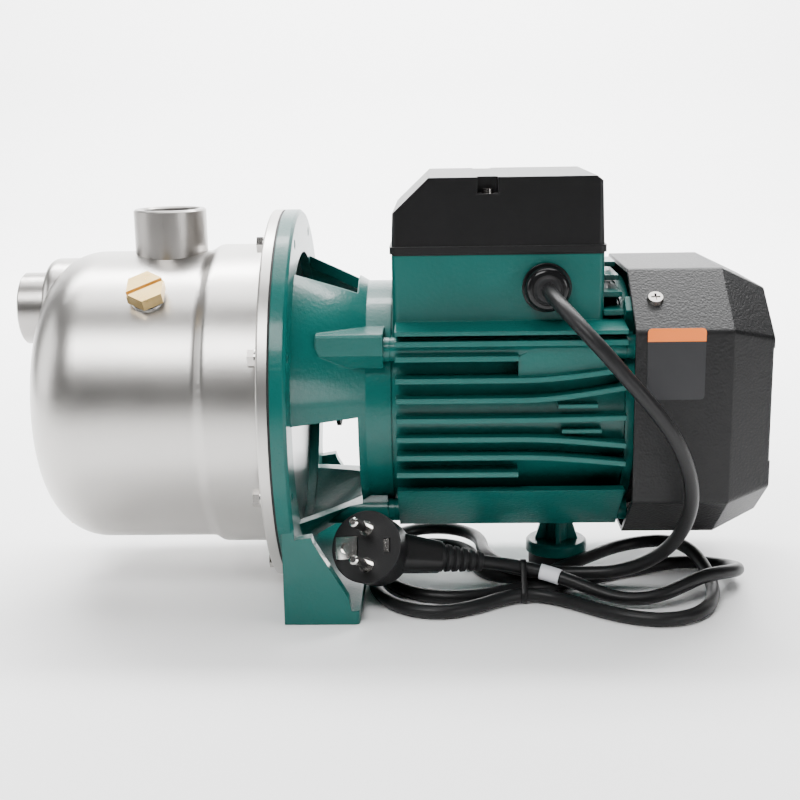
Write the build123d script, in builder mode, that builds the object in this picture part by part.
from build123d import *
import os
from math import atan2, ceil, cos, degrees, pi, radians, sin, sqrt, tan

# Shallow well jet pump: a pressed stainless casing with its ejector, flanged to a cast bracket
# that carries a fan-cooled single-phase motor. Millimetres, +Z up.
# Origin: centre of the foot's two bolt holes, on the base plane. The shaft runs along X, the
# suction port faces -X, the discharge port faces +Z and the fan is at the +X end.

os.makedirs("parts", exist_ok=True)

# ---------------------------------------------------------------- driving dimensions
axis_height = 103.0  # shaft centre above the base plane
seam_x = -20.0  # front face of the bracket's flange
flange_r = 100.0
bolt_circle_r = 92.0
bolt_count = 8
bolt_phase = 22.5

casing_wall = 1.5
casing_front_r = 78.6
casing_rear_r = 81.7
casing_front_x = -155.0  # tip of the dished end
casing_flange_thick = 5.5
gasket_thick = 1.2
knuckle_r = 30.0
knuckle_x = -120.0  # where the barrel turns into the knuckle
joggle_start_x = -62.5
joggle_end_x = -54.0

port_bore_r = 15.15  # minor radius of a G1 thread
port_outer_r = 19.4
suction_rise = 48.5  # suction axis above the shaft
suction_mouth_x = -164.3
suction_boss_r = 27.0
suction_boss_x = -149.8
suction_boss_edge = 6.0
ejector_front_x = -142.0
discharge_x = -82.6
discharge_mouth_z = 204.6
fill_x = -86.0
fill_lean = 40.0  # degrees from vertical, towards the front
drain_drop = 67.0

bracket_flange_thick = 8.0
cone_large_r = 82.0
ring_r = 61.0
ring_x = 24.0
bracket_rear_x = 37.0
window_low_z = 45.0  # lower edge of the side windows at the flange
window_end_z = 50.0  # and at the motor end
apron_front_x = -18.3
foot_length = 38.3
foot_half_width = 84.0
foot_thick = 7.0
web_thick = 7.0
foot_hole_r = 5.0
foot_hole_spacing = 136.0

frame_length = 118.0
frame_bore_r = 55.0
frame_wall = 5.0
fin_reach = 68.0
fin_thick = 2.6
rod_spots = ((58.0, 34.0), (-58.0, 34.0), (33.5, -58.0), (-33.5, -58.0))  # across, above the shaft

shaft_r = 7.5
shaft_pump_r = 6.5
bearing_outer_r = 17.5
bearing_width = 11.0
rotor_r = 30.7
air_gap = 0.4
core_x = 62.0
core_length = 70.0

box_x = 38.0
box_length = 107.0
box_half_width = 50.0
box_rim_z = 183.0
cover_height = 38.4
cover_wall = 2.4
gland_x = 115.8
gland_z = 166.5
gland_thread_r = 10.0

cover_front_x = 158.0
cover_straight = 48.0
cover_length = 70.5
fan_cover_wall = 2.2

leg_x = 126.5
leg_disc_r = 17.0
leg_disc_top = 17.0
pad_thick = 10.5

cord_r = 3.6

fit = 0.05  # radial clearance of a seated or pressed piece
running = 0.05  # radial clearance of a turning shaft
bolt_r = 2.5  # M5
bolt_hole_r = 2.75

# ---------------------------------------------------------------- planes and helpers
SHAFT = Plane(origin=(0, 0, axis_height), x_dir=(1, 0, 0), z_dir=(0, -1, 0))
AXLE = Axis((0, 0, axis_height), (1, 0, 0))
SUCTION = Plane(origin=(0, 0, axis_height + suction_rise), x_dir=(1, 0, 0), z_dir=(0, -1, 0))
SUCTION_AXIS = Axis((0, 0, axis_height + suction_rise), (1, 0, 0))


def across(x, height=0.0):
    """Plane square to the shaft at x, with its origin at a height above the shaft, facing +X."""
    return Plane(origin=(x, 0, axis_height + height), x_dir=(0, 1, 0), z_dir=(1, 0, 0))


def turned(*points):
    """Adds nothing by itself: gives the half section of a turned piece, as (x, radius) points."""
    return Polygon(*points, align=None)


def save(piece, name):
    """Labels a finished piece and writes its STEP file."""
    piece.part.label = name
    export_step(piece.part, f"parts/{name}.step")


def sleeve(x0, x1, inner, outer):
    """A plain turned ring from x0 to x1."""
    with BuildPart() as ring:
        with BuildSketch(SHAFT):
            turned((x0, inner), (x0, outer), (x1, outer), (x1, inner))
        revolve(axis=AXLE)
    return ring


# ---------------------------------------------------------------- pump casing
flange_back_x = seam_x - gasket_thick
flange_front_x = flange_back_x - casing_flange_thick
knuckle_depth = knuckle_x - casing_front_x
knuckle_rise = casing_front_r - knuckle_r
dome_r = (knuckle_depth**2 + knuckle_rise**2 - knuckle_r**2) / (2 * (knuckle_depth - knuckle_r))
dome_centre_x = casing_front_x + dome_r
tangent_angle = degrees(atan2(knuckle_rise, knuckle_x - dome_centre_x))


def polar(centre_x, centre_y, radius, angle):
    """Point on a circle, by its angle in degrees."""
    return (centre_x + radius * cos(radians(angle)), centre_y + radius * sin(radians(angle)))


def casing_section(inset, rear_x):
    """Half section inside the casing's outer skin: barrel, joggle, knuckle arc and dished end."""
    front, rear, knuckle = casing_front_r - inset, casing_rear_r - inset, knuckle_r - inset
    top = (knuckle_x, front)
    meet = polar(knuckle_x, knuckle_rise, knuckle, tangent_angle)
    tip = (casing_front_x + inset, 0)
    with BuildSketch() as section:
        with BuildLine():
            Line((rear_x, 0), (rear_x, rear))
            Line((rear_x, rear), (joggle_end_x, rear))
            Spline((joggle_end_x, rear), (joggle_start_x, front), tangents=[(-1, 0), (-1, 0)])
            Line((joggle_start_x, front), top)
            ThreePointArc(top, polar(knuckle_x, knuckle_rise, knuckle, (90 + tangent_angle) / 2), meet)
            middle = polar(dome_centre_x, 0, dome_r - inset, (180 + tangent_angle) / 2)
            ThreePointArc(meet, middle, tip)
            Line(tip, (rear_x, 0))
        make_face()
    return section.sketch


def casing_body(inset, rear_x):
    """Solid inside the casing's skin, with the flat-faced boss pressed out for the suction port."""
    with BuildPart() as body:
        with BuildSketch(SHAFT):
            add(casing_section(inset, rear_x))
        revolve(axis=AXLE)
        with BuildSketch(SUCTION):
            corner = suction_boss_edge - inset
            with BuildLine():
                face_x = suction_boss_x + inset
                side_r = suction_boss_r - inset
                Polyline((face_x + corner, side_r), (knuckle_x, side_r), (knuckle_x, 0), (face_x, 0),
                         (face_x, side_r - corner))
                RadiusArc((face_x, side_r - corner), (face_x + corner, side_r), corner)
            make_face()
        revolve(axis=SUCTION_AXIS)
    return body.part


FILL = Plane(
    origin=(fill_x, 0, axis_height),
    x_dir=(1, 0, 0),
    z_dir=(0, -sin(radians(fill_lean)), cos(radians(fill_lean))),
)
fill_boss_r = 9.0
fill_boss_top = casing_front_r + 1.2
fill_boss_depth = 10.0
drain_boss_r = 12.0
drain_pocket_r = 10.5
drain_seat_x = -141.5
drain_boss_back_x = -128.0
drain_height = axis_height - drain_drop

outer_body = casing_body(0, flange_back_x)
inner_body = casing_body(casing_wall, flange_back_x + 1)

with BuildPart() as pump_casing:
    add(outer_body)
    with BuildSketch(across(flange_front_x)):
        Circle(flange_r)
    extrude(amount=casing_flange_thick)
    rim = pump_casing.edges().filter_by(GeomType.CIRCLE)
    rim = rim.filter_by(lambda e: abs(e.radius - flange_r) < 0.01).sort_by(Axis.X)
    fillet(rim[0], radius=1.2)
    add(inner_body, mode=Mode.SUBTRACT)
    with BuildSketch(across(suction_mouth_x, suction_rise)):
        Circle(port_outer_r + fit)
    extrude(amount=suction_boss_x + 5 - suction_mouth_x, mode=Mode.SUBTRACT)
    with BuildSketch(Plane.XY.offset(axis_height + casing_front_r - 20)):
        with Locations((discharge_x, 0)):
            Circle(port_bore_r)
    extrude(amount=40, mode=Mode.SUBTRACT)
    with BuildSketch(FILL.offset(casing_front_r - 10)):
        Circle(fill_boss_r + fit)
    extrude(amount=30, mode=Mode.SUBTRACT)
    with BuildSketch(across(casing_front_x - 5, -drain_drop)):
        Circle(drain_boss_r + fit)
    extrude(amount=drain_boss_back_x - casing_front_x + 5, mode=Mode.SUBTRACT)
    with BuildSketch(across(flange_front_x)):
        with PolarLocations(bolt_circle_r, bolt_count, start_angle=bolt_phase):
            Circle(bolt_hole_r)
    extrude(amount=casing_flange_thick, mode=Mode.SUBTRACT)
save(pump_casing, "pump_casing")

# ports: plain tubes welded to the casing, bored for a G1 thread
socket_tail_x = ejector_front_x
spigot_r = 16.6
spigot_seat_x = suction_boss_x + 3
with BuildPart() as suction_socket:
    with BuildSketch(across(suction_mouth_x, suction_rise)):
        Circle(port_outer_r)
        Circle(port_bore_r, mode=Mode.SUBTRACT)
    extrude(amount=socket_tail_x - suction_mouth_x)
    mouth = suction_socket.edges().filter_by(GeomType.CIRCLE).group_by(Axis.X)[0]
    chamfer(mouth, length=0.9)
    with BuildSketch(across(spigot_seat_x, suction_rise)):
        Circle(spigot_r + 0.2)
    extrude(amount=socket_tail_x - spigot_seat_x, mode=Mode.SUBTRACT)
save(suction_socket, "suction_socket")

with BuildPart() as discharge_socket:
    with BuildSketch(Plane.XY.offset(discharge_mouth_z)):
        with Locations((discharge_x, 0)):
            Circle(port_outer_r)
            Circle(port_bore_r, mode=Mode.SUBTRACT)
    extrude(amount=-35)
    mouth = discharge_socket.edges().filter_by(GeomType.CIRCLE).group_by(Axis.Z)[-1]
    chamfer(mouth, length=0.9)
    add(outer_body, mode=Mode.SUBTRACT)
    add(inner_body, mode=Mode.SUBTRACT)
save(discharge_socket, "discharge_socket")

# ---------------------------------------------------------------- fill and drain plugs
plug_thread_r = 6.5
plug_seal_thick = 1.2
fill_seal_r = 8.7
fill_hex_af = 18.0
fill_hex_thick = 7.0
drain_seal_r = 8.0
drain_hex_af = 14.0
drain_hex_thick = 5.0

with BuildPart() as fill_boss:
    with BuildSketch(FILL.offset(fill_boss_top)):
        Circle(fill_boss_r)
        Circle(plug_thread_r + running, mode=Mode.SUBTRACT)
    extrude(amount=-fill_boss_depth)
    chamfer(fill_boss.edges().filter_by(GeomType.CIRCLE).filter_by(lambda e: e.radius > fill_boss_r - 0.01), 0.6)
save(fill_boss, "fill_boss")

with BuildPart() as fill_plug_seal:
    with BuildSketch(FILL.offset(fill_boss_top)):
        Circle(fill_seal_r)
        Circle(plug_thread_r + fit, mode=Mode.SUBTRACT)
    extrude(amount=plug_seal_thick)
save(fill_plug_seal, "fill_plug_seal")

with BuildPart() as fill_plug:
    with BuildSketch(FILL.offset(fill_boss_top + plug_seal_thick)):
        RegularPolygon(radius=fill_hex_af / 2, side_count=6, major_radius=False, rotation=30)
    extrude(amount=fill_hex_thick)
    with BuildSketch(FILL.offset(fill_boss_top + plug_seal_thick + fill_hex_thick - 2.2)):
        Rectangle(fill_hex_af * 1.3, 2.2, rotation=30)
    extrude(amount=4, mode=Mode.SUBTRACT)
    with BuildSketch(FILL.offset(fill_boss_top + plug_seal_thick)):
        Circle(plug_thread_r)
    extrude(amount=-(plug_seal_thick + fill_boss_depth - 1.5))
save(fill_plug, "fill_plug")

DRAIN = Plane(origin=(drain_seat_x, 0, drain_height), x_dir=(0, 1, 0), z_dir=(-1, 0, 0))
with BuildPart() as drain_boss:
    with BuildSketch(across(drain_boss_back_x, -drain_drop)):
        Circle(drain_boss_r)
    extrude(amount=casing_front_x - drain_boss_back_x)
    add(outer_body, mode=Mode.INTERSECT)
    with BuildSketch(DRAIN):
        Circle(drain_pocket_r)
    extrude(amount=30, mode=Mode.SUBTRACT)
    with BuildSketch(DRAIN):
        Circle(drain_pocket_r)
    extrude(amount=drain_seat_x - drain_boss_back_x)
    with BuildSketch(DRAIN):
        Circle(plug_thread_r + running)
    extrude(amount=-20, mode=Mode.SUBTRACT)
save(drain_boss, "drain_boss")

with BuildPart() as drain_plug_seal:
    with BuildSketch(DRAIN):
        Circle(drain_seal_r)
        Circle(plug_thread_r + fit, mode=Mode.SUBTRACT)
    extrude(amount=plug_seal_thick)
save(drain_plug_seal, "drain_plug_seal")

with BuildPart() as drain_plug:
    with BuildSketch(DRAIN.offset(plug_seal_thick)):
        RegularPolygon(radius=drain_hex_af / 2, side_count=6, major_radius=False)
    extrude(amount=drain_hex_thick)
    with BuildSketch(DRAIN.offset(plug_seal_thick + drain_hex_thick - 1.6)):
        Rectangle(drain_hex_af * 1.3, 1.8)
    extrude(amount=3, mode=Mode.SUBTRACT)
    with BuildSketch(DRAIN.offset(plug_seal_thick)):
        Circle(plug_thread_r)
    extrude(amount=-(plug_seal_thick + 8.5))
save(drain_plug, "drain_plug")

# ---------------------------------------------------------------- flange fasteners and gasket
washer_thick = 1.0
bolt_head_thick = 3.5
bolt_head_af = 8.0
bolt_head_x = flange_front_x - washer_thick - bolt_head_thick
seal_plate_r = 86.8
seal_plate_thick = 2.0

with BuildPart() as casing_washers:
    with BuildSketch(across(flange_front_x)):
        with PolarLocations(bolt_circle_r, bolt_count, start_angle=bolt_phase):
            Circle(5.0)
            Circle(bolt_hole_r, mode=Mode.SUBTRACT)
    extrude(amount=-washer_thick)
save(casing_washers, "casing_washers")

with BuildPart() as casing_bolts:
    with BuildSketch(across(bolt_head_x)):
        with PolarLocations(bolt_circle_r, bolt_count, start_angle=bolt_phase):
            RegularPolygon(radius=bolt_head_af / 2, side_count=6, major_radius=False)
    extrude(amount=bolt_head_thick)
    with BuildSketch(across(bolt_head_x + bolt_head_thick)):
        with PolarLocations(bolt_circle_r, bolt_count, start_angle=bolt_phase):
            Circle(bolt_r)
    extrude(amount=seam_x + bracket_flange_thick - 0.8 - bolt_head_x - bolt_head_thick)
save(casing_bolts, "casing_bolts")

with BuildPart() as casing_gasket:
    with BuildSketch(across(flange_back_x)):
        Circle(flange_r - 0.3)
        Circle(casing_rear_r - casing_wall, mode=Mode.SUBTRACT)
        with PolarLocations(bolt_circle_r, bolt_count, start_angle=bolt_phase):
            Circle(bolt_hole_r, mode=Mode.SUBTRACT)
    extrude(amount=gasket_thick)
save(casing_gasket, "casing_gasket")

# ---------------------------------------------------------------- ejector
ejector_depth = 28.0
ejector_wall = 3.0
ejector_r = 20.0
nozzle_thread_r = 9.0
venturi_outer_r = 11.0
venturi_flange_x = ejector_front_x + ejector_depth
venturi_tail_x = -50.0
diffuser_front_x = -58.0

with BuildPart() as ejector_body:
    with BuildSketch(across(ejector_front_x, suction_rise / 2)):
        SlotCenterToCenter(suction_rise, 2 * ejector_r, rotation=90)
    extrude(amount=ejector_depth)
    with BuildSketch(across(ejector_front_x + ejector_wall, suction_rise / 2)):
        SlotCenterToCenter(suction_rise, 2 * (ejector_r - ejector_wall), rotation=90)
    extrude(amount=ejector_depth - 2 * ejector_wall, mode=Mode.SUBTRACT)
    with BuildSketch(across(spigot_seat_x + 0.5, suction_rise)):
        Circle(spigot_r)
    extrude(amount=ejector_front_x - spigot_seat_x)
    with BuildSketch(across(spigot_seat_x, suction_rise)):
        Circle(spigot_r - 2.4)
    extrude(amount=ejector_front_x + ejector_wall - spigot_seat_x, mode=Mode.SUBTRACT)
    with BuildSketch(across(ejector_front_x)):
        Circle(nozzle_thread_r + fit)
    extrude(amount=ejector_wall, mode=Mode.SUBTRACT)
    with BuildSketch(across(venturi_flange_x - ejector_wall)):
        Circle(venturi_outer_r + fit)
    extrude(amount=ejector_wall, mode=Mode.SUBTRACT)
save(ejector_body, "ejector_body")

nozzle_flange = 1.5
nozzle_tip_x = ejector_front_x + 19
with BuildPart() as jet_nozzle:
    with BuildSketch(SHAFT):
        turned(
            (ejector_front_x - nozzle_flange, 6.5),
            (ejector_front_x - nozzle_flange, nozzle_thread_r + 2),
            (ejector_front_x, nozzle_thread_r + 2),
            (ejector_front_x, nozzle_thread_r),
            (ejector_front_x + 5, nozzle_thread_r),
            (nozzle_tip_x, 4.6),
            (nozzle_tip_x, 3.2),
            (nozzle_tip_x - 3, 3.2),
        )
    revolve(axis=AXLE)
save(jet_nozzle, "jet_nozzle")

throat_r = 4.8
with BuildPart() as venturi_tube:
    with BuildSketch(SHAFT):
        turned(
            (venturi_flange_x - ejector_wall, 9.0),
            (venturi_flange_x - ejector_wall, venturi_outer_r),
            (venturi_flange_x, venturi_outer_r),
            (venturi_flange_x, venturi_outer_r + 3),
            (venturi_flange_x + 2.5, venturi_outer_r + 3),
            (venturi_flange_x + 2.5, venturi_outer_r),
            (diffuser_front_x - 6, venturi_outer_r + 3),
            (venturi_tail_x, venturi_outer_r + 3),
            (venturi_tail_x, venturi_outer_r + 1),
            (venturi_flange_x + 16, throat_r),
            (venturi_flange_x + 6, throat_r),
        )
    revolve(axis=AXLE)
save(venturi_tube, "venturi_tube")

# ---------------------------------------------------------------- impeller, diffuser, seal
impeller_r = 58.0
impeller_back_x = -24.0
eye_r = 14.5
impeller_thick = 14.0
impeller_front_x = impeller_back_x - impeller_thick
hub_r = 11.5
vane_count = 6
neck_length = 7.0
neck_r = eye_r + 3

with BuildPart() as impeller:
    with BuildSketch(SHAFT):
        turned(
            (impeller_front_x, shaft_pump_r + fit),
            (impeller_front_x, hub_r),
            (impeller_back_x - 3, hub_r + 2),
            (impeller_back_x - 3, impeller_r),
            (impeller_back_x, impeller_r),
            (impeller_back_x, shaft_pump_r + fit),
        )
    revolve(axis=AXLE)
    with BuildSketch(SHAFT):
        turned(
            (impeller_front_x - neck_length, eye_r),
            (impeller_front_x - neck_length, neck_r),
            (impeller_front_x, neck_r),
            (impeller_front_x + 3.5, impeller_r),
            (impeller_front_x + 6, impeller_r),
            (impeller_front_x + 2, eye_r),
        )
    revolve(axis=AXLE)
    with BuildSketch(across(impeller_front_x + 2.2)):
        with PolarLocations(0, vane_count):
            with BuildLine():
                outside = ThreePointArc((16, 0), (38, 16), (impeller_r - 0.2, 6))
                offset(outside, amount=1.6)
            make_face()
    extrude(amount=impeller_back_x - 2.9 - impeller_front_x - 2.2)
save(impeller, "impeller")

nut_thick = 7.0
with BuildPart() as impeller_nut:
    with BuildSketch(across(impeller_front_x - nut_thick)):
        RegularPolygon(radius=6.5 + 2, side_count=6, major_radius=False)
        Circle(4.0 + fit, mode=Mode.SUBTRACT)
    extrude(amount=nut_thick)
save(impeller_nut, "impeller_nut")

diffuser_r = 72.0
diffuser_wall = 3.0
sleeve_r = venturi_outer_r + 3
ring_gap_r = impeller_r + 1.5
with BuildPart() as diffuser:
    with BuildSketch(SHAFT):
        turned(
            (diffuser_front_x, sleeve_r + fit),
            (diffuser_front_x, sleeve_r + 4),
            (impeller_front_x - neck_length - 4, sleeve_r + 4),
            (impeller_front_x - 4, neck_r + 8),
            (impeller_front_x - 4, diffuser_r),
            (seam_x, diffuser_r),
            (seam_x, diffuser_r - diffuser_wall),
            (impeller_front_x - 4 + diffuser_wall, diffuser_r - diffuser_wall),
            (impeller_front_x - 4 + diffuser_wall, neck_r + 0.5),
            (impeller_front_x - neck_length - 1, neck_r + 0.5),
            (impeller_front_x - neck_length - 1, sleeve_r + fit),
        )
    revolve(axis=AXLE)
    with BuildSketch(across(impeller_front_x - 4 + diffuser_wall)):
        with PolarLocations((ring_gap_r + diffuser_r) / 2, 7, start_angle=12):
            Rectangle(diffuser_r - ring_gap_r, 2.0, rotation=55)
    extrude(amount=seam_x - 0.4 - impeller_front_x + 4 - diffuser_wall)
    with BuildSketch(across(impeller_front_x - 4)):
        with PolarLocations(diffuser_r - 7, 7):
            SlotCenterToCenter(10, 5, rotation=90)
    extrude(amount=diffuser_wall, mode=Mode.SUBTRACT)
save(diffuser, "diffuser")

cup_inner_r = 13.6
cup_back_x = -4.0
seat_x = -13.0
with BuildPart() as seal_plate:
    with BuildSketch(SHAFT):
        turned(
            (seam_x, cup_inner_r),
            (seam_x, seal_plate_r),
            (seam_x + seal_plate_thick, seal_plate_r),
            (seam_x + seal_plate_thick, cup_inner_r + 1.5),
            (cup_back_x, cup_inner_r + 1.5),
            (cup_back_x, shaft_r + 1.5),
            (cup_back_x - 1.5, shaft_r + 1.5),
            (cup_back_x - 1.5, cup_inner_r),
        )
    revolve(axis=AXLE)
save(seal_plate, "seal_plate")

save(sleeve(seat_x, cup_back_x - 1.5, shaft_r + 0.6, cup_inner_r - fit), "seal_seat")
save(sleeve(seat_x - 4, seat_x, shaft_r + fit, cup_inner_r - 1.2), "seal_ring")

with BuildPart() as seal_spring:
    with BuildLine() as coil:
        Helix(pitch=1.9, height=5.7, radius=9.8, center=(seat_x - 10.4, 0, axis_height), direction=(1, 0, 0))
    with BuildSketch(Plane(origin=coil.line @ 0, z_dir=coil.line % 0)):
        Circle(0.5)
    sweep()
save(seal_spring, "seal_spring")

# ---------------------------------------------------------------- bracket with its foot
cone_wall = 5.5
ring_wall = 6.0
bearing_x = bracket_rear_x - bearing_width
bearing_hub_r = bearing_outer_r + 5.5
spigot_length = 4.0
flange_rear_x = seam_x + bracket_flange_thick
foot_rear_x = apron_front_x + foot_length
window_end_x = ring_x - 4
hub_front_x = 12.0
lug_rear_x = bracket_rear_x - 3.5
lug_half = 9.0
lower_lug_r = 7.2
rod_boss_r = 6.0
rod_hole_r = bolt_r + 0.2
rod_front_x = 14.0
upper_y, upper_z = rod_spots[0]

# the two upper tie-rod lugs: flat on top, bevelled below, and cut up towards the flange
with BuildPart() as upper_lugs:
    with BuildSketch(across(0)):
        for side in (-1, 1):
            Polygon(
                (side * (upper_y - 16), upper_z + lug_half),
                (side * (upper_y + 7.5), upper_z + lug_half),
                (side * (upper_y + lug_half), upper_z + 7.5),
                (side * (upper_y + lug_half), upper_z - 1.5),
                (side * (upper_y + 3), upper_z - lug_half),
                (side * (upper_y - 16), upper_z - lug_half),
                align=None,
            )
    extrude(amount=lug_rear_x)
    with BuildSketch(SHAFT):
        Polygon((-1, upper_z + 4), (1.2, upper_z - 1), (5, upper_z - 5.5), (18, upper_z - lug_half - 0.3),
                (-1, upper_z - lug_half - 0.3), align=None)
    extrude(amount=flange_r, both=True, mode=Mode.SUBTRACT)

with BuildPart() as motor_bracket:
    with BuildSketch(SHAFT):
        turned(
            (seam_x, seal_plate_r + 0.2),
            (seam_x, flange_r),
            (flange_rear_x - 1.5, flange_r),
            (flange_rear_x, flange_r - 1.5),
            (flange_rear_x, cone_large_r),
            (ring_x, ring_r),
            (bracket_rear_x, ring_r),
            (bracket_rear_x, frame_bore_r - fit),
            (bracket_rear_x + spigot_length, frame_bore_r - fit),
            (bracket_rear_x + spigot_length, frame_bore_r - 4),
            (bracket_rear_x - 2, frame_bore_r - 4),
            (bracket_rear_x - 2, bearing_hub_r),
            (bracket_rear_x, bearing_hub_r),
            (bracket_rear_x, bearing_outer_r + fit),
            (bearing_x, bearing_outer_r + fit),
            (bearing_x, shaft_r + 3),
            (hub_front_x, shaft_r + 3),
            (hub_front_x, bearing_hub_r),
            (bracket_rear_x - 8, bearing_hub_r),
            (bracket_rear_x - 8, ring_r - ring_wall - 2),
            (ring_x, ring_r - ring_wall),
            (seam_x + seal_plate_thick, cone_large_r - 2),
            (seam_x + seal_plate_thick, seal_plate_r + 0.2),
        )
    revolve(axis=AXLE)
    # apron, base plate and the two side webs of the foot
    with BuildSketch(Plane.XY):
        with Locations(((apron_front_x + flange_rear_x) / 2, 0)):
            Rectangle(flange_rear_x - apron_front_x, 2 * foot_half_width)
    extrude(amount=window_low_z)
    with BuildSketch(across(seam_x)):
        Circle(seal_plate_r + 0.2)
    extrude(amount=bracket_flange_thick, mode=Mode.SUBTRACT)
    with BuildSketch(SHAFT):
        turned(
            (seam_x + seal_plate_thick, cone_large_r - 2),
            (seam_x + seal_plate_thick, seal_plate_r + 0.3),
            (flange_rear_x, seal_plate_r + 0.3),
            (flange_rear_x, cone_large_r - 5),
        )
    revolve(axis=AXLE)
    with BuildSketch(Plane.XY):
        with Locations((apron_front_x + foot_length / 2, 0)):
            RectangleRounded(foot_length, 2 * foot_half_width, 2)
    extrude(amount=foot_thick)
    for side in (-1, 1):
        with BuildSketch(Plane(origin=(0, side * foot_half_width, 0), x_dir=(1, 0, 0), z_dir=(0, -1, 0))):
            Polygon(
                (apron_front_x, 0),
                (foot_rear_x - 4, 0),
                (foot_rear_x - 4, foot_thick),
                (foot_rear_x - 5.4, 14),
                (flange_rear_x + 9.5, 43),
                (flange_rear_x + 3.6, 62),
                (flange_rear_x, 82),
                (apron_front_x, 82),
                align=None,
            )
        extrude(amount=side * web_thick)
    # lugs for the tie rods, each with a round nose against the motor frame
    add(upper_lugs.part)
    for y, z in rod_spots[2:]:
        with BuildSketch(across(0)):
            with Locations((y, z)):
                Circle(lower_lug_r)
            with Locations((0.86 * y, 0.86 * z)):
                Rectangle(2 * lower_lug_r, 2 * lower_lug_r, rotation=degrees(atan2(z, y)))
        extrude(amount=lug_rear_x)
    with BuildSketch(across(lug_rear_x)):
        with Locations(*rod_spots):
            Circle(rod_boss_r)
    extrude(amount=bracket_rear_x - lug_rear_x)
    # nothing of the webs or lugs reaches into the hollow of the cone
    with BuildSketch(SHAFT):
        turned(
            (seam_x, 0),
            (seam_x, seal_plate_r + 0.2),
            (seam_x + seal_plate_thick, seal_plate_r + 0.2),
            (seam_x + seal_plate_thick, cone_large_r - 2),
            (ring_x, ring_r - ring_wall),
            (bracket_rear_x - 8, ring_r - ring_wall - 2),
            (bracket_rear_x - 8, bearing_hub_r),
            (hub_front_x, bearing_hub_r),
            (hub_front_x, 0),
        )
    revolve(axis=AXLE, mode=Mode.SUBTRACT)
    # side windows, straight through, and the window in the top of the cone
    with BuildSketch(Plane.XZ):
        Polygon((flange_rear_x, window_low_z), (window_end_x, window_end_z), (window_end_x, axis_height),
                (flange_rear_x, axis_height), align=None)
    extrude(amount=flange_r, both=True, mode=Mode.SUBTRACT)
    with BuildSketch(Plane.XY.offset(axis_height + bearing_hub_r + 1)):
        Polygon(
            (flange_rear_x, -42),
            (ring_x - 5, -26),
            (ring_x - 5, 26),
            (flange_rear_x, 42),
            align=None,
        )
    extrude(amount=flange_r, mode=Mode.SUBTRACT)
    # bolt holes
    with BuildSketch(across(seam_x)):
        with PolarLocations(bolt_circle_r, bolt_count, start_angle=bolt_phase):
            Circle(bolt_r + fit)
    extrude(amount=bracket_flange_thick + 12, mode=Mode.SUBTRACT)
    with BuildSketch(Plane.XY):
        with GridLocations(0, foot_hole_spacing, 1, 2):
            Circle(foot_hole_r)
    extrude(amount=foot_thick, mode=Mode.SUBTRACT)
    with BuildSketch(across(rod_front_x)):
        with Locations(*rod_spots):
            Circle(rod_hole_r)
    extrude(amount=bracket_rear_x - rod_front_x, mode=Mode.SUBTRACT)
save(motor_bracket, "motor_bracket")

# ---------------------------------------------------------------- rotor
rear_bearing_x = bracket_rear_x + frame_length + 4
fan_x = rear_bearing_x + bearing_width + 9
fan_length = 24.0
shaft_front_x = impeller_front_x - nut_thick - 1.0
shaft_rear_x = fan_x + 19
shaft_fan_r = 6.5
step = 2.0
with BuildPart() as rotor_shaft:
    with BuildSketch(SHAFT):
        turned(
            (shaft_front_x, 0),
            (shaft_front_x, 4.0),
            (impeller_front_x, 4.0),
            (impeller_front_x, shaft_pump_r),
            (impeller_back_x, shaft_pump_r),
            (impeller_back_x, shaft_r),
            (bearing_x + bearing_width, shaft_r),
            (bearing_x + bearing_width, shaft_r + step),
            (rear_bearing_x, shaft_r + step),
            (rear_bearing_x, shaft_r),
            (rear_bearing_x + bearing_width, shaft_r),
            (rear_bearing_x + bearing_width, shaft_fan_r),
            (shaft_rear_x, shaft_fan_r),
            (shaft_rear_x, 0),
        )
    revolve(axis=AXLE)
save(rotor_shaft, "rotor_shaft")

with BuildPart() as rotor_core:
    with BuildSketch(across(core_x)):
        Circle(rotor_r)
        Circle(shaft_r + step + fit, mode=Mode.SUBTRACT)
        with PolarLocations(rotor_r - 0.5, 30):
            Rectangle(1.2, 0.8, mode=Mode.SUBTRACT)
    extrude(amount=core_length)
    for x, way in ((core_x, -1), (core_x + core_length, 1)):
        with BuildSketch(across(x)):
            Circle(rotor_r - 2)
            Circle(rotor_r - 9, mode=Mode.SUBTRACT)
        extrude(amount=way * 6)
save(rotor_core, "rotor_core")


def ball_bearing(x):
    """Sealed ball bearing from x: inner and outer ring with the recessed seals between them."""
    inner_top = shaft_r + running + 2.8
    outer_low = bearing_outer_r - 3.0
    recess = 0.7
    with BuildPart() as bearing:
        with BuildSketch(SHAFT):
            turned(
                (x, shaft_r + running),
                (x, inner_top),
                (x + recess, inner_top),
                (x + recess, outer_low),
                (x, outer_low),
                (x, bearing_outer_r),
                (x + bearing_width, bearing_outer_r),
                (x + bearing_width, outer_low),
                (x + bearing_width - recess, outer_low),
                (x + bearing_width - recess, inner_top),
                (x + bearing_width, inner_top),
                (x + bearing_width, shaft_r + running),
            )
        revolve(axis=AXLE)
    return bearing


save(ball_bearing(bearing_x), "front_bearing")
save(ball_bearing(rear_bearing_x), "rear_bearing")

with BuildPart() as slinger_ring:
    with BuildSketch(SHAFT):
        turned((3, shaft_r + 0.02), (3, 10), (5, 19), (7, 19), (7, 10), (9, 10), (9, shaft_r + 0.02))
    revolve(axis=AXLE)
save(slinger_ring, "slinger_ring")

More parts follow.
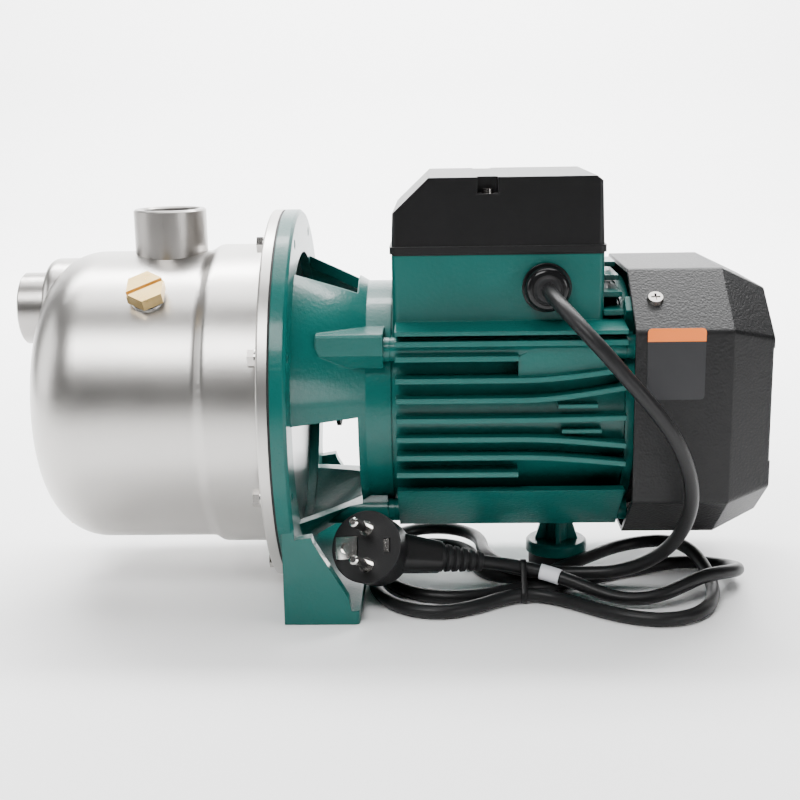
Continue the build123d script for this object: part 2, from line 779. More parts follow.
# ---------------------------------------------------------------- stator
stator_inner_r = rotor_r + air_gap
slot_count = 24
slot_root_r = 46.0
with BuildPart() as stator_core:
    with BuildSketch(across(core_x)):
        Circle(frame_bore_r - fit)
        Circle(stator_inner_r, mode=Mode.SUBTRACT)
        with PolarLocations((stator_inner_r + slot_root_r) / 2, slot_count):
            Rectangle(slot_root_r - stator_inner_r + 2, 4.4, mode=Mode.SUBTRACT)
    extrude(amount=core_length)
save(stator_core, "stator_core")

winding_overhang = 14.0
with BuildPart() as stator_winding:
    with BuildSketch(across(core_x - 1)):
        with PolarLocations((stator_inner_r + slot_root_r + 4) / 2, slot_count):
            Rectangle(slot_root_r - stator_inner_r - 4, 4.2)
    extrude(amount=core_length + 2)
    for x, way in ((core_x - 0.5, -1), (core_x + core_length + 0.5, 1)):
        with BuildSketch(across(x)):
            Circle(slot_root_r + 1)
            Circle(stator_inner_r + 3, mode=Mode.SUBTRACT)
        extrude(amount=way * winding_overhang, taper=4)
save(stator_winding, "stator_winding")

# ---------------------------------------------------------------- motor frame
frame_x = bracket_rear_x
frame_rear_x = frame_x + frame_length
frame_r = frame_bore_r + frame_wall
fin_x = frame_x + 2.5
fin_bend_x = frame_x + 64
shell_top = -38.3
shell_half = 66.0
shell_low = -66.5
shell_low_half = 33.0
shell_wall = 4.0
# height above the shaft at the front, at the rear, and whether the fin stops at the bend
fins = (
    (38.0, 38.0, False),
    (30.4, 30.4, True),
    (19.3, 24.4, False),
    (9.1, 15.2, False),
    (-1.2, -0.4, False),
    (-11.0, -14.8, False),
    (-20.4, -24.2, False),
    (-29.3, -29.3, True),
)
crown_ribs = (50.0, 58.0, 65.0, 70.0)
box_wall = 3.0
box_centre_x = box_x + box_length / 2
box_floor_z = axis_height + 47.5
screw_r = 2.0
post_r = 3.6
notch_x = box_x + 48.5
screw_inset = 5.2
screw_spots = ((notch_x, box_half_width - screw_inset), (notch_x, screw_inset - box_half_width))
block_centre = (box_x + 80, 12)
block_z = axis_height + 61.5
capacitor_r = 17.0
capacitor_length = 64.0
capacitor_y = -22.0
capacitor_z = axis_height + sqrt((frame_r + capacitor_r + 0.6) ** 2 - capacitor_y**2)
clamp_x = box_x + 36
clamp_wall = 1.4
clamp_foot_z = capacitor_z - capacitor_r - clamp_wall - 0.3


def fin_outline(front, rear, short):
    """Side view of one fin: straight to the bend, then swept to its height at the rear."""
    half = fin_thick / 2
    with BuildSketch() as blade:
        with BuildLine():
            if short:
                Polyline((fin_x, front - half), (fin_bend_x, front - half), (fin_bend_x, front + half),
                         (fin_x, front + half), close=True)
            else:
                Line((fin_x, front + half), (fin_bend_x, front + half))
                Spline((fin_bend_x, front + half), (frame_rear_x, rear + half),
                       tangents=[(1, 0), (1, (rear - front) / 40)])
                Line((frame_rear_x, rear + half), (frame_rear_x, rear - half))
                Spline((frame_rear_x, rear - half), (fin_bend_x, front - half),
                       tangents=[(-1, -(rear - front) / 40), (-1, 0)])
                Line((fin_bend_x, front - half), (fin_x, front - half))
                Line((fin_x, front - half), (fin_x, front + half))
        make_face()
    return blade.sketch


with BuildPart() as motor_frame:
    # terminal box base, open at the top, standing on the shelf
    with BuildSketch(Plane.XY.offset(axis_height + 20)):
        with Locations((box_centre_x, 0)):
            RectangleRounded(box_length, 2 * box_half_width, 3)
    extrude(amount=box_rim_z - axis_height - 20)
    with BuildSketch(Plane.XY.offset(box_floor_z)):
        with Locations((box_centre_x, 0)):
            Rectangle(box_length - 2 * box_wall, 2 * (box_half_width - box_wall))
    extrude(amount=box_rim_z - box_floor_z, mode=Mode.SUBTRACT)
    # pedestals for the terminal block and the capacitor clamp, posts for the cover screws
    with BuildSketch(Plane.XY.offset(box_floor_z - 1)):
        with Locations(block_centre):
            Rectangle(36, 18)
    extrude(amount=block_z - box_floor_z + 1)
    with BuildSketch(Plane.XY.offset(box_floor_z - 1)):
        with Locations((clamp_x, capacitor_y - 4.5)):
            Rectangle(14, 9)
    extrude(amount=clamp_foot_z - box_floor_z + 1)
    with BuildSketch(Plane.XY.offset(box_floor_z - 1)):
        with Locations(*screw_spots):
            Circle(post_r)
    extrude(amount=box_rim_z - box_floor_z + 1)
    with BuildSketch(Plane.XY.offset(box_rim_z)):
        with Locations(*screw_spots):
            Circle(screw_r + fit)
    extrude(amount=-12, mode=Mode.SUBTRACT)
    # barrel and solid runs for the tie rods
    with BuildSketch(across(frame_x)):
        Circle(frame_r)
        with Locations(*rod_spots):
            Circle(6)
        with Locations((49, 34), (-49, 34)):
            Rectangle(18, 9)
    extrude(amount=frame_length)
    for front, rear, short in fins:
        with BuildSketch(SHAFT):
            add(fin_outline(front, rear, short))
        extrude(amount=fin_reach, both=True)
    # short ribs between the fins near the rear, and the smooth pad above them
    with BuildSketch(SHAFT):
        with Locations((frame_rear_x - 24, 5.2), (frame_rear_x - 22, -7.8)):
            Rectangle(20, 2.0)
    extrude(amount=fin_reach - 3, both=True)
    with BuildSketch(SHAFT):
        Polygon((fin_bend_x, 30.4), (fin_bend_x + 8, 35), (frame_rear_x - 6, 35),
                (frame_rear_x - 6, 25), (fin_bend_x + 30, 21), (fin_bend_x, 19.5), align=None)
    extrude(amount=fin_reach - 4, both=True)
    # shelf under the terminal box
    with BuildSketch(across(fin_x)):
        Polygon((-fin_reach, 42.2), (-fin_reach, 44.2), (-box_half_width, 46.6), (box_half_width, 46.6),
                (fin_reach, 44.2), (fin_reach, 42.2), (40, 40), (-40, 40), align=None)
    extrude(amount=frame_rear_x - fin_x)
    # smooth faceted shell under the motor
    with BuildSketch(across(fin_x)):
        Polygon((-shell_half, shell_top), (-shell_low_half, shell_low), (shell_low_half, shell_low),
                (shell_half, shell_top), (shell_half - 8, shell_top), (shell_low_half - 2, shell_low + shell_wall),
                (-shell_low_half + 2, shell_low + shell_wall), (-shell_half + 8, shell_top), align=None)
        with Locations((-40, -50), (40, -50)):
            Rectangle(3, 14)
        with Locations((0, -61)):
            Rectangle(44, 8)
    extrude(amount=frame_rear_x - fin_x)
    # ribs across the crown, behind the box
    for level in crown_ribs:
        reach = sqrt(71.0**2 - level**2)
        with BuildSketch(Plane.XY.offset(axis_height + level - fin_thick / 2)):
            with Locations(((box_x + box_length + frame_rear_x) / 2, 0)):
                Rectangle(frame_rear_x - box_x - box_length, 2 * reach)
        extrude(amount=fin_thick)
    # entry hole for the cable gland
    with BuildSketch(Plane.XZ.offset(box_half_width)):
        with Locations((gland_x, gland_z)):
            Circle(gland_thread_r + fit)
    extrude(amount=-(box_wall + 1), mode=Mode.SUBTRACT)
    # seat for the support leg
    with BuildSketch(Plane.XY.offset(axis_height + shell_low)):
        with Locations((leg_x, 0)):
            Circle(9)
    extrude(amount=10)
    # passages for the tie rods, then the stator bore
    with BuildSketch(across(frame_x)):
        with Locations(*rod_spots):
            Circle(rod_hole_r)
    extrude(amount=frame_length, mode=Mode.SUBTRACT)
    with BuildSketch(across(frame_x)):
        Circle(frame_bore_r)
    extrude(amount=frame_length, mode=Mode.SUBTRACT)
save(motor_frame, "motor_frame")

# ---------------------------------------------------------------- fan cover outline
cover_corners = ((36.0, 70.4), (72.0, 43.5))
cover_corner_r = 3.5


def octagon(inset):
    """Cross section of the fan cover, drawn in evenly by an inset, with its corners rounded."""
    (top_y, top_z), (side_y, side_z) = cover_corners
    run, fall = side_y - top_y, top_z - side_z
    slant = sqrt(run**2 + fall**2)
    top = (top_y - inset * (slant - run) / fall, top_z - inset)
    side = (side_y - inset, side_z - inset * (slant - fall) / run)
    quarter = [top, side, (side[0], -side[1]), (top[0], -top[1])]
    with BuildSketch() as outline:
        Polygon(*quarter, *[(-y, -z) for y, z in quarter], align=None)
        fillet(outline.vertices(), cover_corner_r)
    return outline.sketch


facet_angle = degrees(atan2(cover_corners[1][0] - cover_corners[0][0], cover_corners[0][1] - cover_corners[1][1]))
facet_mid = ((cover_corners[0][0] + cover_corners[1][0]) / 2, (cover_corners[0][1] + cover_corners[1][1]) / 2)
cover_screw_x = cover_front_x + 11.7


def facet_plane(side, level, out=0.0):
    """Plane on one of the four slanting facets of the fan cover, at its screw, facing outwards."""
    normal = Vector(0, side * cos(radians(facet_angle)), level * sin(radians(facet_angle)))
    foot = Vector(cover_screw_x, side * facet_mid[0], axis_height + level * facet_mid[1])
    return Plane(origin=foot + normal * out, x_dir=(1, 0, 0), z_dir=normal)


# ---------------------------------------------------------------- rear end shield and fan
shield_thick = 5.0
lug_depth = 20.0
shield_hub_r = bearing_outer_r + 5
nut_af = 8.0
nut_height = 4.0
with BuildPart() as rear_end_shield:
    with BuildSketch(across(frame_rear_x)):
        Circle(frame_r + 2)
        with Locations(*rod_spots):
            Circle(rod_boss_r)
    extrude(amount=shield_thick)
    with BuildSketch(across(frame_rear_x - spigot_length)):
        Circle(frame_bore_r - fit)
        Circle(frame_bore_r - 4, mode=Mode.SUBTRACT)
    extrude(amount=spigot_length)
    with BuildSketch(across(frame_rear_x)):
        Circle(shield_hub_r)
    extrude(amount=rear_bearing_x + bearing_width + 2 - frame_rear_x)
    for side in (-1, 1):
        with BuildSketch(facet_plane(side, 1, -fan_cover_wall - 0.3)):
            with Locations(((frame_rear_x - cover_screw_x + 5) / 2, 0)):
                Rectangle(cover_screw_x + 5 - frame_rear_x, 10)
        extrude(amount=-lug_depth)
    with BuildSketch(SHAFT):
        turned((frame_rear_x - 1, 0), (frame_rear_x - 1, frame_bore_r - 4), (frame_rear_x, frame_bore_r - 4),
               (frame_rear_x, bearing_outer_r + fit), (rear_bearing_x + bearing_width, bearing_outer_r + fit),
               (rear_bearing_x + bearing_width, shaft_r + 1), (rear_bearing_x + bearing_width + 3, shaft_r + 1),
               (rear_bearing_x + bearing_width + 3, 0))
    revolve(axis=AXLE, mode=Mode.SUBTRACT)
    for side in (-1, 1):
        with BuildSketch(facet_plane(side, 1)):
            Circle(screw_r + fit)
        extrude(amount=-14, mode=Mode.SUBTRACT)
    with BuildSketch(across(frame_rear_x)):
        with Locations(*rod_spots):
            Circle(rod_hole_r)
    extrude(amount=shield_thick, mode=Mode.SUBTRACT)
    with BuildSketch(across(frame_rear_x + shield_thick)):
        with Locations(*rod_spots):
            Circle(nut_af * 0.7)
    extrude(amount=nut_height + 10, mode=Mode.SUBTRACT)
save(rear_end_shield, "rear_end_shield")

tie_rear_x = frame_rear_x + shield_thick + nut_height + 1
with BuildPart() as tie_rods:
    with BuildSketch(across(rod_front_x + 0.5)):
        with Locations(*rod_spots):
            Circle(bolt_r)
    extrude(amount=tie_rear_x - rod_front_x - 0.5)
save(tie_rods, "tie_rods")

with BuildPart() as tie_rod_nuts:
    with BuildSketch(across(frame_rear_x + shield_thick)):
        with Locations(*rod_spots):
            RegularPolygon(radius=nut_af / 2, side_count=6, major_radius=False)
            Circle(bolt_r + fit, mode=Mode.SUBTRACT)
    extrude(amount=nut_height)
save(tie_rod_nuts, "tie_rod_nuts")

fan_r = 62.0
fan_bore_r = shaft_fan_r + fit
with BuildPart() as cooling_fan:
    with BuildSketch(SHAFT):
        turned((fan_x, fan_bore_r), (fan_x, 13), (fan_x + 3, 13), (fan_x + 3, 30), (fan_x + 5, 30),
               (fan_x + 5, 13), (fan_x + 16, 12), (fan_x + 16, fan_bore_r))
    revolve(axis=AXLE)
    with BuildSketch(across(fan_x)):
        with PolarLocations((fan_r + 11) / 2, 7):
            Rectangle(fan_r - 11, 2.4)
    extrude(amount=fan_length)
save(cooling_fan, "cooling_fan")

with BuildPart() as fan_clip:
    with BuildSketch(across(fan_x + 16)):
        Circle(shaft_fan_r + 3)
        Circle(fan_bore_r, mode=Mode.SUBTRACT)
        with Locations((shaft_r, 0)):
            Rectangle(8, 3, mode=Mode.SUBTRACT)
    extrude(amount=1.0)
save(fan_clip, "fan_clip")

# ---------------------------------------------------------------- fan cover
cover_rear_x = cover_front_x + cover_length
cover_inset = 11.0
with BuildPart() as fan_cover:
    with BuildSketch(across(cover_front_x)):
        add(octagon(0))
    extrude(amount=cover_straight)
    with BuildSketch(across(cover_front_x + cover_straight)):
        add(octagon(0))
    with BuildSketch(across(cover_rear_x)):
        add(octagon(cover_inset))
    loft()
    with BuildSketch(across(cover_front_x)):
        add(octagon(fan_cover_wall))
    extrude(amount=cover_straight, mode=Mode.SUBTRACT)
    with BuildSketch(across(cover_front_x + cover_straight)):
        add(octagon(fan_cover_wall))
    with BuildSketch(across(cover_rear_x - fan_cover_wall)):
        add(octagon(cover_inset + fan_cover_wall - 1.0))
    loft(mode=Mode.SUBTRACT)
    # air slots in the rear wall
    with BuildSketch(across(cover_rear_x - 8)):
        for row in range(-5, 6):
            level = row * 9.0
            reach = sqrt(54.0**2 - level**2) - 4
            for side in (-1, 1):
                with Locations((side * (reach / 2 + 1.5), level)):
                    SlotOverall(reach, 4.6)
    extrude(amount=12, mode=Mode.SUBTRACT)
    # the side edges of the rear wall are cut back a little
    for side in (-1, 1):
        with BuildSketch(across(cover_rear_x - 1.0)):
            with Locations((side * 65, 4)):
                Rectangle(12, 58)
        extrude(amount=3, mode=Mode.SUBTRACT)
    for side in (-1, 1):
        with BuildSketch(facet_plane(side, 1, 1)):
            Circle(screw_r + 0.3)
        extrude(amount=-6, mode=Mode.SUBTRACT)
save(fan_cover, "fan_cover")

with BuildPart() as fan_cover_screws:
    for side in (-1, 1):
        with BuildSketch(facet_plane(side, 1)):
            Circle(4.2)
        extrude(amount=2.2, taper=14)
        with BuildSketch(facet_plane(side, 1)):
            Circle(screw_r)
        extrude(amount=-12)
        with BuildSketch(facet_plane(side, 1, 0.9)):
            Rectangle(4.6, 1.1)
            Rectangle(1.1, 4.6)
        extrude(amount=3, mode=Mode.SUBTRACT)
save(fan_cover_screws, "fan_cover_screws")

label_thick = 0.3
with BuildPart() as warning_label:
    with BuildSketch(Plane.XZ.offset(cover_corners[1][0])):
        with Locations((cover_front_x + 19.9, axis_height + 27.6)):
            RectangleRounded(28.4, 35.7, 2)
    extrude(amount=label_thick)
save(warning_label, "warning_label")

# ---------------------------------------------------------------- terminal box
rubber_thick = 0.8
lip_height = 3.6
lip_out = 1.0
cover_base_z = box_rim_z + rubber_thick
cover_top_z = cover_base_z + cover_height - rubber_thick
bevel = 18.0
notch_length = 10.4
notch_depth = 8.2

with BuildPart() as box_gasket:
    with BuildSketch(Plane.XY.offset(box_rim_z)):
        with Locations((box_centre_x, 0)):
            RectangleRounded(box_length, 2 * box_half_width, 3)
            Rectangle(box_length - 2 * box_wall, 2 * (box_half_width - box_wall), mode=Mode.SUBTRACT)
        with Locations(*screw_spots):
            Circle(post_r)
            Circle(screw_r + 0.2, mode=Mode.SUBTRACT)
    extrude(amount=rubber_thick)
save(box_gasket, "box_gasket")

with BuildPart() as terminal_cover:
    with BuildSketch(Plane.XY.offset(cover_base_z)):
        with Locations((box_centre_x, 0)):
            RectangleRounded(box_length + 2 * lip_out, 2 * (box_half_width + lip_out), 3.5)
    extrude(amount=lip_height)
    with BuildSketch(Plane.XY.offset(cover_base_z + lip_height)):
        with Locations((box_centre_x, 0)):
            RectangleRounded(box_length, 2 * box_half_width, 3)
    extrude(amount=cover_top_z - cover_base_z - lip_height, taper=2.0)
    with BuildSketch(Plane.XZ):
        Polygon((box_x - 5, cover_top_z - bevel), (box_x - 5, cover_top_z + 5),
                (box_x + bevel, cover_top_z + 5), (box_x + bevel + 1, cover_top_z),
                (box_x, cover_top_z - bevel), align=None)
        Polygon((box_x + box_length - 5.5, cover_top_z + 1), (box_x + box_length + 2, cover_top_z + 1),
                (box_x + box_length + 2, cover_top_z - 5), align=None)
    extrude(amount=80, both=True, mode=Mode.SUBTRACT)
    # long edges of the left end are bevelled
    with BuildSketch(Plane.XY.offset(cover_base_z + lip_height)):
        for side in (-1, 1):
            Polygon((box_x - 3, side * (box_half_width - 5)), (box_x + 4.2, side * (box_half_width + 3)),
                    (box_x - 3, side * (box_half_width + 3)), align=None)
    extrude(amount=60, mode=Mode.SUBTRACT)
    # hollow
    with BuildSketch(Plane.XY.offset(cover_base_z)):
        with Locations((box_centre_x, 0)):
            Rectangle(box_length - 2 * box_wall, 2 * (box_half_width - box_wall))
    extrude(amount=cover_height - cover_wall - bevel - 1, mode=Mode.SUBTRACT)
    with BuildSketch(Plane.XY.offset(cover_base_z)):
        with Locations((box_centre_x + bevel / 2, 0)):
            Rectangle(box_length - 2 * box_wall - bevel - 4, 2 * (box_half_width - box_wall) - 22)
    extrude(amount=cover_height - cover_wall - 1.5, mode=Mode.SUBTRACT)
    # screw notches in the two long sides
    with BuildSketch(Plane.XY.offset(cover_top_z - notch_depth)):
        with GridLocations(0, 2 * (box_half_width - 3), 1, 2):
            with Locations((notch_x, 0)):
                Rectangle(notch_length, 11)
    extrude(amount=20, mode=Mode.SUBTRACT)
    with BuildSketch(Plane.XY.offset(cover_base_z)):
        with Locations(*screw_spots):
            Circle(post_r)
    extrude(amount=cover_top_z - notch_depth - cover_base_z)
    with BuildSketch(Plane.XY.offset(cover_base_z)):
        with Locations(*screw_spots):
            Circle(screw_r + 0.2)
    extrude(amount=60, mode=Mode.SUBTRACT)
save(terminal_cover, "terminal_cover")

with BuildPart() as terminal_cover_screws:
    with BuildSketch(Plane.XY.offset(cover_top_z - notch_depth)):
        with Locations(*screw_spots):
            Circle(3.0)
    extrude(amount=2.4, taper=10)
    with BuildSketch(Plane.XY.offset(cover_top_z - notch_depth)):
        with Locations(*screw_spots):
            Circle(screw_r)
    extrude(amount=-(cover_top_z - notch_depth - box_rim_z + 9))
    with BuildSketch(Plane.XY.offset(cover_top_z - notch_depth + 1.2)):
        with Locations(*screw_spots):
            Rectangle(4, 0.9)
            Rectangle(0.9, 4)
    extrude(amount=3, mode=Mode.SUBTRACT)
save(terminal_cover_screws, "terminal_cover_screws")

with BuildPart() as terminal_block:
    with BuildSketch(Plane.XY.offset(block_z)):
        with Locations(block_centre):
            Rectangle(36, 18)
    extrude(amount=13)
    with BuildSketch(Plane.XY.offset(block_z + 7)):
        with Locations(block_centre):
            with GridLocations(11, 0, 3, 1):
                Rectangle(7, 20)
    extrude(amount=6, mode=Mode.SUBTRACT)
save(terminal_block, "terminal_block")

CAPACITOR = Plane(origin=(box_x + 4.5, capacitor_y, capacitor_z), x_dir=(0, 1, 0), z_dir=(1, 0, 0))
with BuildPart() as capacitor:
    with BuildSketch(CAPACITOR):
        Circle(capacitor_r)
    extrude(amount=capacitor_length)
    chamfer(capacitor.edges().filter_by(GeomType.CIRCLE), 1.5)
    with BuildSketch(CAPACITOR.offset(capacitor_length)):
        with GridLocations(12, 0, 2, 1):
            Rectangle(1, 6)
    extrude(amount=7)
save(capacitor, "capacitor")

clamp_half = 6.0
with BuildPart() as capacitor_clamp:
    with BuildSketch(across(clamp_x - clamp_half)):
        with Locations((capacitor_y, capacitor_z - axis_height)):
            Circle(capacitor_r + clamp_wall)
        with Locations((capacitor_y - 4.5, (clamp_foot_z + capacitor_z) / 2 - axis_height)):
            Rectangle(8, capacitor_z - clamp_foot_z)
        with Locations((capacitor_y, capacitor_z - axis_height)):
            Circle(capacitor_r + fit, mode=Mode.SUBTRACT)
        Circle(frame_r + 0.1, mode=Mode.SUBTRACT)
    extrude(amount=2 * clamp_half)
save(capacitor_clamp, "capacitor_clamp")

# ---------------------------------------------------------------- cable gland
WALL = Plane(origin=(gland_x, -box_half_width, gland_z), x_dir=(1, 0, 0), z_dir=(0, -1, 0))
GLAND_AXIS = Axis((gland_x, 0, gland_z), (0, -1, 0))
gland_flange_r = 12.4
gland_flange_thick = 3.0
gland_nut_length = 9.0
gland_nut_r = 11.2
gland_seal_r = 7.4
gland_tail = 2.0
cord_exit = gland_flange_thick + gland_nut_length + gland_tail

with BuildPart() as gland_body:
    with BuildSketch(WALL):
        Circle(gland_flange_r)
    extrude(amount=gland_flange_thick)
    with BuildSketch(WALL):
        Circle(gland_thread_r)
    extrude(amount=-(box_wall + 5))
    with BuildSketch(WALL.offset(gland_flange_thick)):
        Circle(gland_seal_r + 1.4)
    extrude(amount=gland_nut_length - 3)
    with BuildSketch(WALL.offset(gland_flange_thick + gland_nut_length)):
        Circle(gland_seal_r + fit)
    extrude(amount=-30, mode=Mode.SUBTRACT)
save(gland_body, "gland_body")

with BuildPart() as gland_nut:
    with BuildSketch(WALL.offset(gland_flange_thick)):
        Circle(gland_nut_r)
    extrude(amount=gland_nut_length)
    fillet(gland_nut.faces().sort_by(Axis.Y)[0].edges(), radius=3.2)
    with BuildSketch(WALL.offset(gland_flange_thick)):
        Circle(gland_seal_r + 1.4 + fit)
    extrude(amount=gland_nut_length - 3, mode=Mode.SUBTRACT)
    with BuildSketch(WALL.offset(gland_flange_thick)):
        Circle(gland_seal_r + fit)
    extrude(amount=20, mode=Mode.SUBTRACT)
save(gland_nut, "gland_nut")

with BuildPart() as gland_locknut:
    with BuildSketch(WALL.offset(-box_wall)):
        RegularPolygon(radius=12.5, side_count=6, major_radius=False)
        Circle(gland_thread_r + fit, mode=Mode.SUBTRACT)
    extrude(amount=-4)
save(gland_locknut, "gland_locknut")

with BuildPart() as gland_seal:
    with BuildSketch(WALL.offset(gland_flange_thick - 2)):
        Circle(gland_seal_r)
    extrude(amount=gland_nut_length + 2)
    with BuildSketch(WALL.offset(gland_flange_thick + gland_nut_length)):
        Circle(gland_seal_r - 0.4)
    extrude(amount=gland_tail, taper=30)
    with BuildSketch(WALL.offset(gland_flange_thick - 2)):
        Circle(cord_r)
    extrude(amount=gland_nut_length + gland_tail, mode=Mode.SUBTRACT)
save(gland_seal, "gland_seal")

# ---------------------------------------------------------------- support leg
leg_height = axis_height + shell_low - leg_disc_top


def gusset(centre):
    """Side view of the ribs that stiffen the stem of the leg."""
    top = leg_disc_top + leg_height
    corners = ((centre - 12, leg_disc_top), (centre + 12, leg_disc_top), (centre + 6, top), (centre - 6, top))
    return Polygon(*corners, align=None, mode=Mode.PRIVATE)


with BuildPart() as support_leg:
    with BuildSketch(Plane.XY.offset(pad_thick)):
        with Locations((leg_x, 0)):
            Circle(leg_disc_r)
    extrude(amount=leg_disc_top - pad_thick)
    chamfer(support_leg.edges().group_by(Axis.Z)[-1], 1.0)
    with BuildSketch(Plane.XY.offset(leg_disc_top)):
        with Locations((leg_x, 0)):
            Circle(6)
    extrude(amount=leg_height)
    with BuildSketch(Plane.XZ):
        add(gusset(leg_x))
    extrude(amount=1.3, both=True)
    with BuildSketch(Plane.YZ.offset(leg_x)):
        add(gusset(0))
    extrude(amount=1.3, both=True)
save(support_leg, "support_leg")

with BuildPart() as support_pad:
    with BuildSketch(Plane.XY):
        with Locations((leg_x, 0)):
            Circle(leg_disc_r - 1.5)
    extrude(amount=pad_thick)
    chamfer(support_pad.edges().group_by(Axis.Z)[0], 1.0)
save(support_pad, "support_pad")

# ---------------------------------------------------------------- mains lead
bundle_top = 14.6
strand_top = 7.4
tie_x = 105.0
tie_width = 3.0
tie_thick = 0.8
tie_half = 14.0
tie_y = -47.0
tie_top = 20.4
left_lobe = ((112, -37), (98, -22), (84, 10), (66, 34), (48, 40), (34, 30), (28, -10), (22, -40), (24, -62),
             (34, -78), (50, -86), (68, -86), (86, -74), (98, -62), (112, -58))
right_lobe = ((96, -37), (128, -27), (146, -10), (165, 2), (184, 14), (200, 2), (212, -10), (222, -24),
              (216, -44), (206, -72), (194, -92), (176, -98), (160, -92), (140, -78), (122, -63), (108, -58),
              (96, -57))

with BuildPart() as cord_hank:
    with BuildSketch():
        Polygon(*left_lobe, align=None)
    extrude(amount=strand_top)
    with BuildSketch():
        Polygon(*right_lobe, align=None)
    extrude(amount=bundle_top)
    with BuildSketch(Plane.YZ.offset(tie_x - tie_width / 2)):
        with Locations((tie_y, tie_top / 2)):
            Rectangle(4 * tie_half, 2 * tie_top)
            RectangleRounded(2 * tie_half - 2 * tie_thick, tie_top - 2 * tie_thick, 4, mode=Mode.SUBTRACT)
    extrude(amount=tie_width, mode=Mode.SUBTRACT)
save(cord_hank, "cord_hank")

with BuildPart() as cord_tie:
    with BuildSketch(Plane.YZ.offset(tie_x - tie_width / 2)):
        with Locations((tie_y, tie_top / 2)):
            RectangleRounded(2 * tie_half, tie_top, 4.8)
            RectangleRounded(2 * tie_half - 2 * tie_thick, tie_top - 2 * tie_thick, 4, mode=Mode.SUBTRACT)
    extrude(amount=tie_width)
save(cord_tie, "cord_tie")

tag_thick = 0.6
with BuildPart() as cord_tag:
    with BuildSketch(Plane.XY.offset(bundle_top)):
        with Locations((124, -36)):
            Rectangle(12, 11, rotation=-12)
    extrude(amount=tag_thick)
save(cord_tag, "cord_tag")


def arc_radii(points):
    """Largest even arc at each corner of a route: 0.45 of its shorter run over the tangent of half its turn."""
    corners = [Vector(*point) for point in points]
    radii = []
    for before, corner, after in zip(corners, corners[1:], corners[2:]):
        run_in = corner - before
        run_out = after - corner
        half_turn = radians(run_in.get_angle(run_out)) / 2
        radii.append(0.45 * min(run_in.length, run_out.length) / tan(half_turn))
    return radii


def cord_tube(points):
    """Round cord along a route of straight runs joined by tangent arcs."""
    start = Vector(*points[0])
    towards = Vector(*points[1]) - start
    with BuildPart() as tube:
        with BuildLine() as route:
            FilletPolyline(*points, radius=arc_radii(points))
        with BuildSketch(Plane(origin=start, z_dir=towards)):
            Circle(cord_r)
        sweep(path=route.wire())
    print("cord route", round(route.wire().length, 1), "smallest arc", round(min(arc_radii(points)), 1))
    return tube


exit_y = -box_half_width - cord_exit
lead_route = (
    (gland_x, exit_y, gland_z),
    (gland_x, exit_y - 12, gland_z),
    (118.8, exit_y - 23.4, 163.9),
    (123.8, exit_y - 33.1, 158.7),
    (130.7, exit_y - 40.1, 151.5),
    (139.0, exit_y - 43.6, 142.8),
    (147.6, -108.6, 132.6),
    (157.0, -108.4, 122.0),
    (166.4, -107.2, 110.6),
    (174.2, -104.2, 98.2),
    (180.0, -99.8, 85.0),
    (183.6, -94.0, 71.6),
    (184.0, -87.0, 58.2),
    (181.0, -79.6, 45.6),
    (174.6, -71.6, 34.2),
    (165.0, -62.6, 24.0),
    (153.6, -53.0, 15.6),
    (142.0, -44.0, 9.0),
)
with BuildPart() as cord_lead:
    add(cord_tube(lead_route).part)
    add(cord_hank.part, mode=Mode.SUBTRACT)
save(cord_lead, "cord_lead")

# ---------------------------------------------------------------- plug
plug_r = 18.8
plug_depth = 22.0
pin_r = 2.4
pin_length = 19.0
pin_half_spacing = 9.5
pin_collar_r = 3.9
socket_contact_x = -10.8
socket_contact_size = 11.6
clip_contact_x = 11.1
contact_sink = 1.4
plug_normal = Vector(-0.295, -0.835, 0.464).normalized()
plug_right = Vector(0.958, -0.252, 0.156)
plug_right = (plug_right - plug_normal * plug_right.dot(plug_normal)).normalized()
PLUG = Plane(origin=(23.2, -69.5, 36.5), x_dir=plug_right, z_dir=plug_normal)
grip_origin = PLUG.origin - plug_normal * 12.5
grip_way = Vector(0.965, 0.19, -0.18).normalized()
GRIP = Plane(origin=grip_origin, x_dir=PLUG.y_dir, z_dir=grip_way)
grip_end = 35.0
relief_end = 58.0

with BuildPart() as plug_body:
    with BuildSketch(PLUG):
        Circle(plug_r)
    extrude(amount=-plug_depth, taper=3)
    chamfer(plug_body.edges().filter_by(GeomType.CIRCLE).sort_by(Axis.Y)[-1], 3)
    with BuildSketch(GRIP.offset(10)):
        RectangleRounded(21, 19, 6)
    with BuildSketch(GRIP.offset(grip_end)):
        RectangleRounded(16, 15, 5)
    loft()
    with BuildSketch(PLUG):
        with Locations((socket_contact_x, 0)):
            Rectangle(socket_contact_size + 0.6, socket_contact_size + 0.6)
        with Locations((clip_contact_x, 0)):
            Rectangle(3.6, 7.1)
    extrude(amount=-contact_sink, mode=Mode.SUBTRACT)
    with BuildSketch(GRIP.offset(grip_end)):
        Circle(4.6)
    extrude(amount=-10, mode=Mode.SUBTRACT)
save(plug_body, "plug_body")

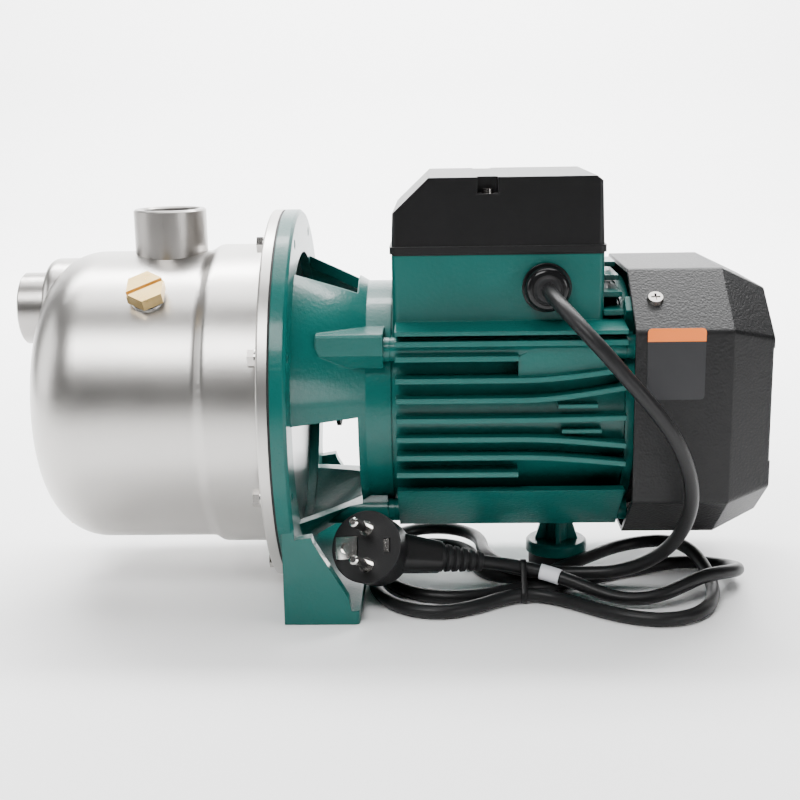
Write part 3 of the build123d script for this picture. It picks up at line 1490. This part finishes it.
with BuildPart() as plug_pins:
    for side in (-1, 1):
        with BuildSketch(PLUG):
            with Locations((0, side * pin_half_spacing)):
                Circle(pin_r)
        extrude(amount=pin_length)
    chamfer(plug_pins.edges().group_by(Axis(PLUG.origin, plug_normal))[-1], 0.8)
    with BuildSketch(PLUG):
        with Locations((0, pin_half_spacing), (0, -pin_half_spacing)):
            Circle(pin_collar_r)
    extrude(amount=0.6)
save(plug_pins, "plug_pins")

with BuildPart() as plug_earth_contacts:
    with BuildSketch(PLUG.offset(-contact_sink)):
        with Locations((socket_contact_x, 0)):
            Rectangle(socket_contact_size, socket_contact_size)
        with Locations((clip_contact_x, 0)):
            Rectangle(3, 6.5)
    extrude(amount=contact_sink + 0.5)
    with BuildSketch(PLUG.offset(1)):
        with Locations((socket_contact_x, 0)):
            Circle(2.9)
    extrude(amount=-2.0, mode=Mode.SUBTRACT)
save(plug_earth_contacts, "plug_earth_contacts")

RELIEF_AXIS = Axis(GRIP.origin, GRIP.z_dir)
RELIEF = Plane(origin=GRIP.origin, x_dir=GRIP.z_dir, z_dir=GRIP.x_dir)
relief_r = 7.4
rib_pitch = 4.2
rib_count = 5
relief_section = [(grip_end - 9, cord_r), (grip_end - 9, 4.5), (grip_end, 4.5), (grip_end, relief_r)]
for rib in range(rib_count):
    rib_x = grip_end + 1.5 + rib * rib_pitch
    rib_r = relief_r - rib * 0.45
    relief_section += [(rib_x, rib_r), (rib_x + 0.4, rib_r - 1.5), (rib_x + 1.6, rib_r - 1.5), (rib_x + 2, rib_r)]
relief_section += [(relief_end, 5.0), (relief_end, cord_r)]
with BuildPart() as plug_strain_relief:
    with BuildSketch(RELIEF):
        Polygon(*relief_section, align=None)
    revolve(axis=RELIEF_AXIS)
save(plug_strain_relief, "plug_strain_relief")

tail_start = GRIP.origin + grip_way * (grip_end - 9)
tail_leave = GRIP.origin + grip_way * (relief_end + 7)
tail_route = (
    tuple(tail_start),
    tuple(tail_leave),
    (104.0, -45.5, 15.4),
    (117.0, -49.0, 12.0),
    (130.0, -55.0, 8.0),
)
with BuildPart() as cord_tail:
    add(cord_tube(tail_route).part)
    add(cord_hank.part, mode=Mode.SUBTRACT)
save(cord_tail, "cord_tail")
